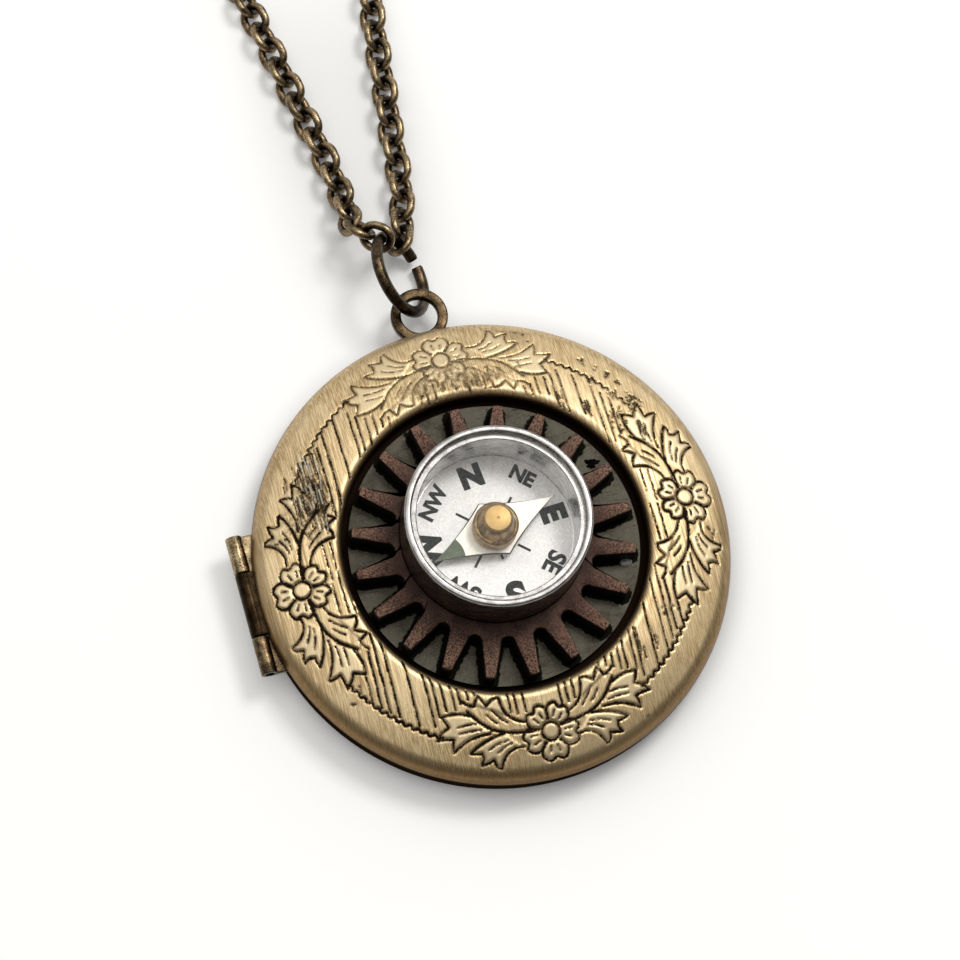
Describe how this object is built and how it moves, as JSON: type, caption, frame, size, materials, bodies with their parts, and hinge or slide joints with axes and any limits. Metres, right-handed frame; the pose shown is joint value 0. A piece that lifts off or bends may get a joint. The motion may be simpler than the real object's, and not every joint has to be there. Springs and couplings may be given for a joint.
{
  "type": "compass pendant locket on a chain",
  "caption": "Round hinged locket with an engraved front, a spiked gear and a small working compass set in it, on a cable chain with a hook clasp.",
  "frame": {"origin": "centre of the locket's flat back, which lies on the surface", "axes": "+Z out of the locket's front, +Y to the loop and the chain, hinge at -X"},
  "size_m": [0.09, 0.2297, 0.0094],
  "materials": {
    "antique_brass": "brushed antique brass with dark patina in the lines",
    "dark_bronze": "dark antique bronze plating with bright rubbed spots",
    "gear_copper": "rough red-brown copper plating, nearly black on the sides",
    "disc_olive": "dull olive grey",
    "case_metal": "turned and polished",
    "dial_silver": "fine silvery speckle with dark printed marks",
    "lens_clear": "clear",
    "pin_steel": "plain",
    "needle_ivory": "ivory paint, one tip dark green",
    "hub_brass": "turned brass, darker at the base"
  },
  "bodies": {
    "root": {"back_cover": "antique_brass", "hinge_pin": "dark_bronze", "jump_ring": "dark_bronze", "chain_left": "dark_bronze", "chain_right": "dark_bronze", "chain_far_left": "dark_bronze", "chain_far_right": "dark_bronze", "clasp_ring": "dark_bronze", "clasp": "dark_bronze"},
    "lid": {"front_cover": "antique_brass", "backing_disc": "disc_olive", "sun_gear": "gear_copper", "compass_case": "case_metal", "compass_dial": "dial_silver", "compass_lens": "lens_clear", "pivot_pin": "pin_steel"},
    "pointer": {"needle": "needle_ivory", "needle_hub": "hub_brass"}
  },
  "joints": [
    {"name": "lid_hinge", "type": "hinge", "parent": "root", "child": "lid", "pos_m": [-0.01645, 0.00025, 0.0024], "axis": [0, -1, 0], "range_deg": [0, 120]},
    {"name": "needle_spin", "type": "hinge", "parent": "lid", "child": "pointer", "pos_m": [-0.00013, 0.00044, 0.0065], "axis": [0, 0, 1], "continuous": true}
  ]
}
